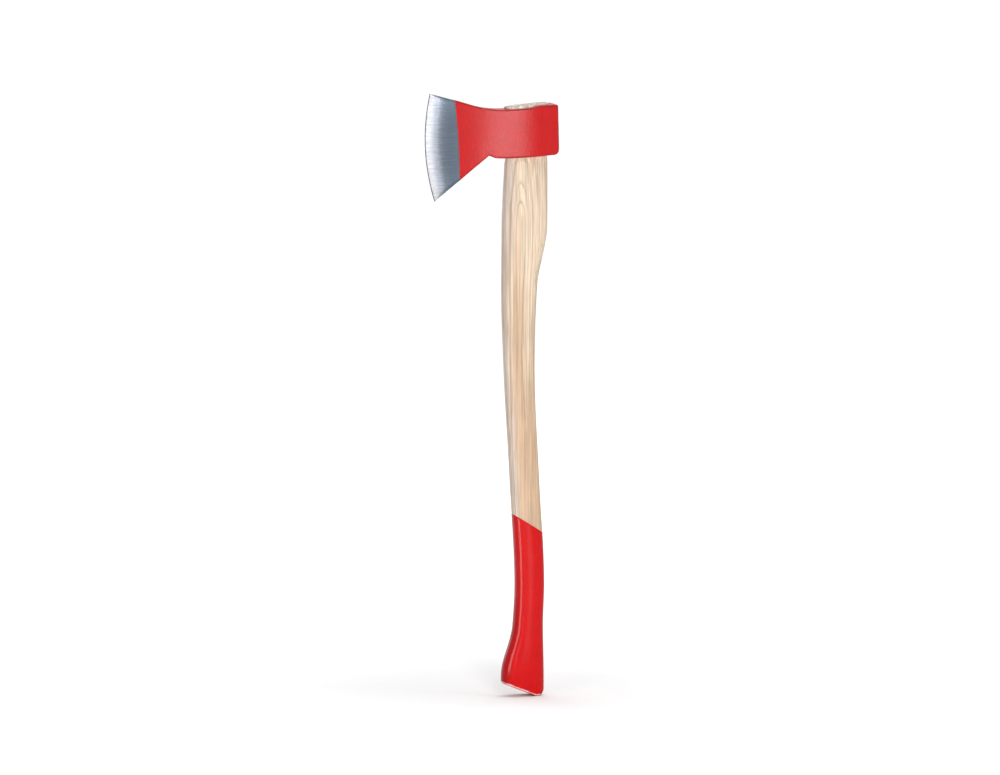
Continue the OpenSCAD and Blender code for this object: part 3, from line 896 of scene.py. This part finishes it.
def enamel_film(name):
    """Brushed or dipped enamel: drift between two reds, orange peel and a few nibs of dust."""
    n, given, out = new_group(
        name,
        {
            "vector": ["Vector"],
            "colour": ["Colour", "Deep colour"],
            "value": ["Peel", "Gloss low", "Gloss high"],
        },
        FINISH,
    )
    point = given["Vector"]
    peel = n.mottle(point, given["Peel"], 1.5, 0.45)
    drift = n.mottle(point, 60, 3.0)
    thick = n.remap(n.weighed(peel, 0.5, drift, 0.5), 0.35, 0.65)
    cells = n.add("TexVoronoi", {"Vector": point, "Scale": 260.0}, feature="F1")
    rare = n.step(n.mottle(point, 310, 1.0), 0.62, 0.66)
    nibs = n.times(n.step(cells.outputs["Distance"], 0.04, 0.16, 1, 0), rare)
    patches = n.drawn_out(point, 22, 8.8)
    n.put(out["Colour"], n.blend(thick, given["Colour"], given["Deep colour"]))
    n.put(out["Roughness"], n.remap(patches, 0.3, 0.7, given["Gloss low"], given["Gloss high"]))
    n.put(out["Height"], n.calc("MULTIPLY_ADD", nibs, 0.8, peel))
    return n.tree


def edge_rub(name):
    """Mask of an edge that hands and sheath have scuffed; the colour laid on it is partly that
    scuffing and partly painted light: shade along the head's rims, a highlight along the butt's
    edge.
    """
    n, given, out = new_group(
        name, {"vector": ["Vector"], "value": ["Edge", "Amount"]}, {"value": ["Mask"]}
    )
    patch = n.mottle(given["Vector"], 70)
    flecks = n.mottle(given["Vector"], 900, 3.0, 0.7)
    broken = n.weighed(flecks, 0.6, patch, 0.4)
    level = n.calc("MULTIPLY_ADD", given["Edge"], given["Amount"], broken)
    n.put(out["Mask"], n.step(level, 0.98, 1.12))
    return n.tree


def grinding_marks(name):
    """Marks that a grinding belt leaves along one direction, with a few deeper scratches."""
    n, given, out = new_group(
        name, {"vector": ["Vector"], "colour": ["Colour", "Mark colour"]}, FINISH
    )
    point = given["Vector"]
    slant = (0.0, math.radians(9), 0.0)
    fine = n.drawn_out(point, 110, 2600, 2.0, 0.6)
    broad = n.drawn_out(point, 50, 420, 3.0, 0.6)
    scratch = n.step(n.drawn_out(n.turned(point, slant), 45, 1700, 1.0), 0.66, 0.74)
    tone = n.weighed(fine, 0.45, broad, 0.55)
    share = n.calc("MULTIPLY_ADD", scratch, 0.25, n.remap(tone, 0.32, 0.68))
    n.put(out["Colour"], n.blend(share, given["Colour"], given["Mark colour"]))
    n.put(out["Roughness"], n.remap(tone, 0.3, 0.7, 0.17, 0.25))
    n.put(out["Height"], n.calc("MULTIPLY_ADD", scratch, -0.6, fine))
    return n.tree


# Finishes


def new_material(name):
    """A material, its nodes, its shader's sockets and coordinates that follow the part."""
    material = bpy.data.materials.new(name)
    material.use_nodes = True
    n = Nodes(material.node_tree)
    shader = n.tree.nodes["Principled BSDF"].inputs
    return material, n, shader, n.add("TexCoord").outputs["Object"]


def connect(n, shader, tone, rough, height, strength, distance):
    """Joins a finish to its shader, with its relief as a bump."""
    bump = n.add("Bump", {"Height": height, "Strength": strength, "Distance": distance})
    n.put(shader["Base Color"], tone)
    n.put(shader["Roughness"], rough)
    n.put(shader["Normal"], bump.outputs["Normal"])


def wood_material(name, tones, ring_width, pith, lean):
    """Wood whose tones are late, warm, grey and early wood, pores and sawn ends; the grey is partly
    painted shade.
    """
    material, n, shader, point = new_material(name)
    patch = n.remap(n.drawn_out(point, 60, 6), 0.25, 0.6, 0.6, 1)
    upward = n.parts(n.add("TexCoord").outputs["Normal"])["Z"]
    end_grain = n.remap(upward, 0.8, 0.95)
    near_top = n.remap(n.parts(point)["Z"], 0.791, 0.796)
    names = ("Late wood", "Warm wood", "Grey wood", "Early wood", "Pores", "Sawn wood")
    inputs = {
        "Vector": point, "Ring width": ring_width, "Pith": pith, "Lean": lean,
        "Greyness": n.times(n.marked("front"), patch),
        "Sawn": n.calc("MAXIMUM", end_grain, near_top),
        **dict(zip(names, tones)),
    }
    finish = n.effect("Long grain", long_grain, inputs)
    connect(
        n, shader, finish["Colour"], finish["Roughness"], finish["Height"],
        strength=0.35, distance=0.15 * MM,
    )
    n.put(shader["IOR"], 1.4)
    return material


def enamel_material(name, reds, wear_and_light, shaded, peel, gloss, depth, rub, ior):
    """Enamel in two reds, with a colour for its edges, partly scuffing and partly painted light,
    and a painted shade for its front.
    """
    material, n, shader, point = new_material(name)
    inputs = {
        "Vector": point, "Colour": reds[0], "Deep colour": reds[1],
        "Peel": peel, "Gloss low": gloss[0], "Gloss high": gloss[1],
    }
    film = n.effect("Enamel film", enamel_film, inputs)
    inputs = {"Vector": point, "Edge": n.marked("edge"), "Amount": rub}
    mask = n.effect("Edge rub", edge_rub, inputs)["Mask"]
    # Painted shade along the front, wherever a piece is marked with it
    tone = n.blend(n.marked("front"), film["Colour"], shaded)
    # The edge colour over the mask: partly chipping and scuffing, partly painted light
    tone = n.blend(mask, tone, wear_and_light)
    connect(n, shader, tone, film["Roughness"], film["Height"], strength=0.5, distance=depth)
    n.put(shader["IOR"], ior)
    return material


def bit_tones(n, colours):
    """Two tones of the ground bit, which darkens from its satin bevel, and the satin's share; the
    darkening is partly the finish and partly painted reflection.
    """
    share = n.marked("from_edge")
    edge_line, bevel_end = (0.018, 0.028), (0.10, 0.34)
    rear_start, satin_end = (0.28, 0.72), (0.12, 0.5)
    tone = n.blend(n.remap(share, *edge_line), colours.edge, colours.honed)
    tone = n.blend(n.step(share, *bevel_end), tone, colours.steel)
    tone = n.blend(n.step(share, *rear_start), tone, colours.steel_deep)
    marks = n.blend(0.36, tone, BLACK)
    return tone, marks, n.step(share, *satin_end, 1, 0)


def steel_material(name, tones, along, depth):
    """Ground steel. The tones are a function that gives its two colours and its share of satin."""
    material, n, shader, point = new_material(name)
    steel, dark, satin = tones(n)
    inputs = {"Vector": n.turned(point, along), "Colour": steel, "Mark colour": dark}
    marks = n.effect("Grinding marks", grinding_marks, inputs)
    satin_rough = 0.22
    rough = n.calc("MULTIPLY_ADD", satin, satin_rough, marks["Roughness"])
    connect(n, shader, marks["Colour"], rough, marks["Height"], strength=0.3, distance=depth)
    n.put(shader["Metallic"], 1.0)
    return material


# Studio

# Each soft box has its size, its azimuth and elevation in degrees, its distance and its aim
MIDDLE = (0.0, 0.0, 0.42)
GRIP = (0.05, 0.0, 0.1)
SOFT_BOXES = {
    "key": ((0.45, 1.2), (-7.8, 10), 2.2, MIDDLE),
    "right": ((0.9, 1.0), (58, 12), 2.0, MIDDLE),
    "rear": ((2.2, 1.4), (190, 11), 3.0, MIDDLE),
    "side": ((0.29, 0.24), (-44, 2), 0.8, GRIP),
    "strip": ((0.12, 0.24), (14, 1), 0.8, GRIP),
}
OVERHEAD_WIDTH = math.radians(70)
OVERHEAD_TILT = (math.radians(-8), math.radians(12), 0.0)
OVERHEAD_Z = 3.0
FLOOR_R = 40.0
CLIP_END = 100.0


def lay_floor(colours, stage):
    """A round pale floor that keeps the shadow and shows white to the camera and in gloss."""
    circle = bmesh.new()
    bmesh.ops.create_circle(circle, cap_ends=True, segments=96, radius=FLOOR_R)
    mesh = bpy.data.meshes.new("floor")
    circle.to_mesh(mesh)
    circle.free()
    floor = bpy.data.objects.new("floor", mesh)
    bpy.context.scene.collection.objects.link(floor)
    material, n, shader, point = new_material("pale_floor")
    shown = n.shown()
    tone = n.blend(shown, colours.floor_bounce, colours.floor)
    grain = n.remap(n.mottle(point, 35, 3.0), 0.3, 0.7, 0.985, 1)
    reach = n.vector("LENGTH", point)["Value"]
    lift = n.step(reach, 0.05, 0.8, stage.lift_near, stage.lift_far)
    n.put(shader["Base Color"], n.shaded(tone, grain))
    n.put(shader["Roughness"], 1.0)
    n.put(shader["Specular IOR Level"], 0.0)
    n.put(shader["Emission Color"], WHITE)
    n.put(shader["Emission Strength"], n.times(shown, lift))
    mesh.materials.append(material)


def light_room(scene, stage):
    """Soft light from the room, stronger from behind, and white where it is seen past the floor."""
    scene.world = scene.world or bpy.data.worlds.new("room")
    scene.world.use_nodes = True
    n = Nodes(scene.world.node_tree)
    background = n.tree.nodes["Background"].inputs
    behind = n.parts(n.add("TexCoord").outputs["Generated"])["Y"]
    light = n.remap(behind, 0.0, 1.0, stage.fill, stage.fill + stage.rear_fill)
    n.put(background["Color"], WHITE)
    n.put(background["Strength"], n.calc("MAXIMUM", n.shown(), light))


def direction(azimuth, elevation):
    """Direction from the axe to what stands at an azimuth and elevation."""
    level = math.cos(elevation)
    return Vector((math.sin(azimuth) * level, -math.cos(azimuth) * level, math.sin(elevation)))


def facing(toward):
    """Rotation of a lamp or camera that looks back along a direction."""
    return (-toward).to_track_quat("-Z", "Y").to_euler()


def stand(name, data, where, rotation):
    """Puts a lamp or the camera in the scene."""
    thing = bpy.data.objects.new(name, data)
    thing.location = where
    thing.rotation_euler = rotation
    bpy.context.scene.collection.objects.link(thing)
    return thing


def soft_box(name, watts, size_m, degrees, distance, aim):
    """An area lamp at an azimuth and elevation, turned to the axe."""
    toward = direction(*(math.radians(d) for d in degrees))
    data = bpy.data.lights.new(name, "AREA")
    data.shape = "RECTANGLE"
    data.size, data.size_y = size_m
    data.energy = watts
    lamp = stand(name, data, Vector(aim) + toward * distance, facing(toward))
    lamp.visible_camera = False


def overhead_light(name, strength):
    """A wide, even light from above, which leaves a soft shadow on the floor."""
    data = bpy.data.lights.new(name, "SUN")
    data.energy = strength
    data.angle = OVERHEAD_WIDTH
    stand(name, data, (0.0, 0.0, OVERHEAD_Z), OVERHEAD_TILT)


def place_camera(scene, stage):
    """The camera at the photograph's side, with its frame."""
    toward = direction(stage.azimuth, stage.elevation)
    right = Vector((math.cos(stage.azimuth), math.sin(stage.azimuth), 0.0))
    up = toward.cross(right)
    data = bpy.data.cameras.new("camera")
    data.sensor_width = SENSOR_MM
    data.sensor_fit = "HORIZONTAL"
    data.lens = SENSOR_MM * stage.distance / (PICTURE_W * stage.pixel)
    data.clip_end = CLIP_END
    where = right * stage.aim[0] + up * stage.aim[1] + toward * stage.distance
    scene.camera = stand("camera", data, where, facing(toward))


# Operators


class AXE_OT_head(bpy.types.Operator):
    """Build the forged head with its ground bit"""

    bl_idname = "axe.head"
    bl_label = "Head"

    def execute(self, context):
        scene = context.scene
        head, colours = HeadForm(scene), scene.axe_colours
        stations = head.bit_stations()
        bit = len(stations)
        stations += head.cheek_stations(np.linspace(0, 1, 24)[1:]) + head.eye_stations()
        rings = head.forged([head.ring(s) for s in stations])
        piece = lofted("axe_head", rings, ("flat", "middle"))
        cut(piece, [eye_cutter(HandleForm(scene))])
        share = np.ones(rings.shape[:2])
        share[:bit] = head.bit_shares()[:, None]
        mark(piece, "from_edge", rings, share)
        smooth(piece, 30)
        material = steel_material(
            "ground_steel", lambda n: bit_tones(n, colours),
            along=(0.0, math.radians(-3), 0.0), depth=0.03 * MM,
        )
        deliver(piece, material, "head")
        return {"FINISHED"}


class AXE_OT_head_enamel(bpy.types.Operator):
    """Build the coat of red enamel on the head"""

    bl_idname = "axe.head_enamel"
    bl_label = "Head enamel"

    def execute(self, context):
        scene = context.scene
        head, sizes, colours = HeadForm(scene), scene.axe_handle, scene.axe_colours
        insides, poll_rim = [0.1, 0.35, 0.6, 0.8, 0.92, 0.97], 7
        low_bead, thinnest = sizes.bead * 0.5, 0.005 * MM
        steps = COAT_STEPS / (head.sizes.beard[0] - head.line_x)
        shares = np.concatenate([steps, np.linspace(steps[-1], 1, 24)[1:]])
        stations = head.cheek_stations(shares) + head.eye_stations()
        grows = np.full(len(stations), sizes.paint_t)
        grows[: len(steps)] = edge_film(COAT_STEPS, sizes.paint_t, low_bead)
        grows[0] = thinnest
        outer = head.forged([head.ring(s, g) for s, g in zip(stations, grows)])
        inner = head.forged([head.ring(s, -COAT_SINK) for s in stations])
        face = shrunk(outer[-1], insides)
        rings = np.concatenate([face, outer[::-1], inner])
        piece = lofted("head_enamel", rings, ("middle", "middle"))
        # The rims are marked for the dark rim colour: partly chipped enamel, partly painted shade
        rim = np.zeros(rings.shape[:2])
        cheeks = rim[len(face) : len(face) + len(outer)]
        around, span = rim.shape[1], head.corner + 1
        for start in (head.crown, head.crown + span + head.rows):
            cheeks[:, start : start + span] = 1
            cheeks[:, around - start - span + 1 : around - start + 1] = 1
        cheeks[:poll_rim] = 1
        cut(piece, [eye_cutter(HandleForm(scene))])
        mark(piece, "edge", rings, rim)
        smooth(piece, 40)
        material = enamel_material(
            "head_enamel", (colours.head_red, colours.head_deep), colours.wear_and_light, colours.head_deep,
            peel=420.0, gloss=(0.31, 0.37), depth=0.36 * MM, rub=0.56, ior=1.36,
        )
        deliver(piece, material, "head_paint")
        return {"FINISHED"}


class AXE_OT_handle(bpy.types.Operator):
    """Build the shaped ash handle, sawn off above the eye and slotted for its wedges"""

    bl_idname = "axe.handle"
    bl_label = "Handle"

    def execute(self, context):
        scene = context.scene
        form, wedges, colours = HandleForm(scene), scene.axe_wedges, scene.axe_colours
        room, top_share, kerf_l, above = 0.05 * MM, 0.985, 0.2, 20 * MM
        rings = form.butt_rings(0, [0, 0.3, 1])
        rings += form.grip_rings(0, np.linspace(0, 1, 60)[1:])
        rings += form.shaft_rings(np.linspace(0, 1, 170)[1:])
        tongue = form.tongue_rings(np.concatenate([np.linspace(0, 0.99, 14), [1]]), -room)
        tongue[-1][:, :2] = lerp(np.array([form.eye_x, 0]), tongue[-1][:, :2], top_share)
        rings = whittled(form, np.array(rings + tongue))
        # Marks the front for the grey tone, which is partly grain and partly painted shade
        front = np.tile(form.toward_front(-0.5, 0.3), (len(rings), 1))
        front[-1] = 1
        piece = lofted("ash_handle", rings, ("middle", "flat"))
        heights = [-wedges.kerf, 0, wedges.depth + above]
        kerf = lofted("kerf", wooden_wedge_rings(form, wedges, 0, kerf_l, heights))
        cut(piece, [kerf] + wedge_slots(form, wedges))
        mark(piece, "front", rings, front)
        smooth(piece, 35)
        tones = (
            colours.cream, colours.peach, colours.ash_grey_and_shade, colours.tan, colours.pore, colours.sawn
        )
        material = wood_material(
            "ash", tones, ring_width=1.75 * MM, pith=(0.036, -0.053, 0.30), lean=-0.006
        )
        deliver(piece, material, "handle")
        return {"FINISHED"}


class AXE_OT_grip_paint(bpy.types.Operator):
    """Build the glossy coat that the grip was dipped in"""

    bl_idname = "axe.grip_paint"
    bl_label = "Grip paint"

    def execute(self, context):
        scene = context.scene
        form, sizes, colours = HandleForm(scene), scene.axe_handle, scene.axe_colours
        insides = [0.08, 0.25, 0.45, 0.65, 0.8, 0.9, 0.96]
        shares = [0, 0.04, 0.1, 0.18, 0.28, 0.4, 0.55, 0.75, 1]
        # How far the pale band reaches up the butt's edge: partly scuffed paint, partly a painted
        # highlight
        wear_and_highlight = np.array([0, 0, 0.1, 0.4, 0.8, 1, 1, 1, 0.85])
        high, film = form.line_heights(), COAT_STEPS[::-1]
        rings = form.butt_shell(sizes.paint_t, insides, shares)
        rings += form.grip_rings(sizes.paint_t, np.linspace(0, 1, 90)[1:-1], film[0])
        rings += [form.wood(high - d, edge_film(d, sizes.paint_t, sizes.bead)) for d in film]
        inner = form.butt_shell(-COAT_SINK, insides, shares)
        inner += form.grip_rings(-COAT_SINK, np.linspace(0, 1, 60)[1:])
        rings = whittled(form, np.array(rings + inner[::-1]))
        piece = lofted("grip_paint_coat", rings, ("middle", "middle"))
        rim = np.zeros(rings.shape[:2])
        butt_edge = slice(len(insides), len(insides) + len(shares))
        rim[butt_edge] = wear_and_highlight[:, None] * form.toward_front(0.95, 0.25)
        # Painted shade: the grip's front edge gets a darker red, strongest at the toe and fading up
        # the grip
        toe_shade, grip_painted_shade, throat_z, throat_h = 0.65, 0.30, 90 * MM, 80 * MM
        painted_shade_share = lerp(toe_shade, grip_painted_shade, ease((rings[..., 2] - throat_z) / throat_h))
        front = painted_shade_share * form.toward_front(-0.6, 0.35)
        mark(piece, "edge", rings, rim)
        mark(piece, "front", rings, front)
        smooth(piece, 50)
        # Pale butt edge: partly scuffed paint, partly a painted highlight. Front: painted shade.
        material = enamel_material(
            "grip_enamel", (colours.grip_red, colours.grip_deep), colours.worn_and_highlit, colours.grip_painted_shade,
            peel=150.0, gloss=(0.10, 0.15), depth=0.02 * MM, rub=0.62, ior=1.23,
        )
        deliver(piece, material, "grip_paint")
        return {"FINISHED"}


class AXE_OT_wedges(bpy.types.Operator):
    """Build the wooden wedge and the two steel wedges that spread the handle in the eye"""

    bl_idname = "axe.wedges"
    bl_label = "Wedges"

    # Rings of a steel wedge: share of its height and how far they lie inside its sides
    levels = [(0, 0.1 * MM), (0.02, 0.0), (0.5, 0.0), (0.95, 0.0), (0.975, -0.02 * MM)]
    levels += [(0.99, 0.12 * MM), (0.998, 0.4 * MM)]
    battered, dent, dent_depth = 6, 3 * MM, 0.22 * MM

    def wooden_wedge(self, form, wedges, colours, length):
        heights = np.linspace(0, wedges.depth, 16)
        rings = np.array(wooden_wedge_rings(form, wedges, -wedges.clear, length, heights))
        rise = (heights / wedges.depth)[:, None]
        rings[..., 2] += rise * (form.top_z(rings[..., 0]) - form.top_z(form.eye_x))
        piece = lofted("wooden_wedge_piece", rings)
        cut(piece, wedge_slots(form, wedges))
        smooth(piece, 35)
        pale = colours.wedge_pale
        material = wood_material(
            "wedge_wood", (pale, pale, pale, colours.wedge_dark, colours.pore, pale),
            ring_width=1.3 * MM, pith=(0.05, 0.09, 0.76), lean=0.05,
        )
        deliver(piece, material, "wooden_wedge")

    def steel_wedge(self, form, wedges, name, side, material):
        rings = np.array(steel_wedge_rings(form, wedges, side, 0, 0, self.levels))
        rings = np.concatenate([rings, shrunk(rings[-1], [0.8, 0.55, 0.3])])
        top = rings[-self.battered :]
        top[..., 2] += np.minimum(waves(top, (self.dent,) * 3, self.dent_depth), 0)
        piece = lofted(name + "_piece", rings, ("flat", "middle"))
        smooth(piece, 50)
        deliver(piece, material, name)

    def execute(self, context):
        scene = context.scene
        form, wedges, colours = HandleForm(scene), scene.axe_wedges, scene.axe_colours
        self.wooden_wedge(form, wedges, colours, scene.axe_head.eye[0] - 2 * wedges.end_gap)
        steel = steel_material(
            "wedge_steel", lambda n: (colours.wedge_steel, colours.steel_dark, 0.0),
            along=(math.radians(90), 0.0, 0.0), depth=0.08 * MM,
        )
        self.steel_wedge(form, wedges, "front_steel_wedge", -1, steel)
        self.steel_wedge(form, wedges, "rear_steel_wedge", 1, steel)
        return {"FINISHED"}


class AXE_OT_stage(bpy.types.Operator):
    """Set up the floor, the soft light and the camera"""

    bl_idname = "axe.stage"
    bl_label = "Studio"

    def execute(self, context):
        scene, stage = context.scene, context.scene.axe_stage
        scene.view_settings.view_transform = "Standard"
        lay_floor(scene.axe_colours, stage)
        light_room(scene, stage)
        for name, box in SOFT_BOXES.items():
            soft_box(name + "_light", getattr(stage, name), *box)
        overhead_light("overhead_light", stage.sky)
        place_camera(scene, stage)
        return {"FINISHED"}


class AXE_PT_panel(bpy.types.Panel):
    """Sizes, colours and operators of the axe"""

    bl_label = "Axe"
    bl_idname = "AXE_PT_panel"
    bl_space_type = "VIEW_3D"
    bl_region_type = "UI"
    bl_category = "Axe"

    def draw(self, context):
        for operator in OPERATORS:
            self.layout.operator(operator.bl_idname)
        for key, group in GROUPS.items():
            box = self.layout.box()
            box.label(text=group.__doc__)
            for name in group.__annotations__:
                box.prop(getattr(context.scene, key), name)


GROUPS = {
    "axe_handle": AxeHandleSizes,
    "axe_head": AxeHeadSizes,
    "axe_wedges": AxeWedgeSizes,
    "axe_colours": AxeColours,
    "axe_stage": AxeStageSettings,
}
OPERATORS = (
    AXE_OT_head,
    AXE_OT_head_enamel,
    AXE_OT_handle,
    AXE_OT_grip_paint,
    AXE_OT_wedges,
    AXE_OT_stage,
)
CLASSES = (*GROUPS.values(), *OPERATORS, AXE_PT_panel)


def register():
    for each in CLASSES:
        bpy.utils.register_class(each)
    for key, group in GROUPS.items():
        setattr(bpy.types.Scene, key, PointerProperty(type=group))


def unregister():
    for key in GROUPS:
        delattr(bpy.types.Scene, key)
    for each in reversed(CLASSES):
        bpy.utils.unregister_class(each)


def main():
    register()
    bpy.ops.axe.head()
    bpy.ops.axe.head_enamel()
    bpy.ops.axe.handle()
    bpy.ops.axe.grip_paint()
    bpy.ops.axe.wedges()
    bpy.ops.axe.stage()


if __name__ == "__main__":
    main()
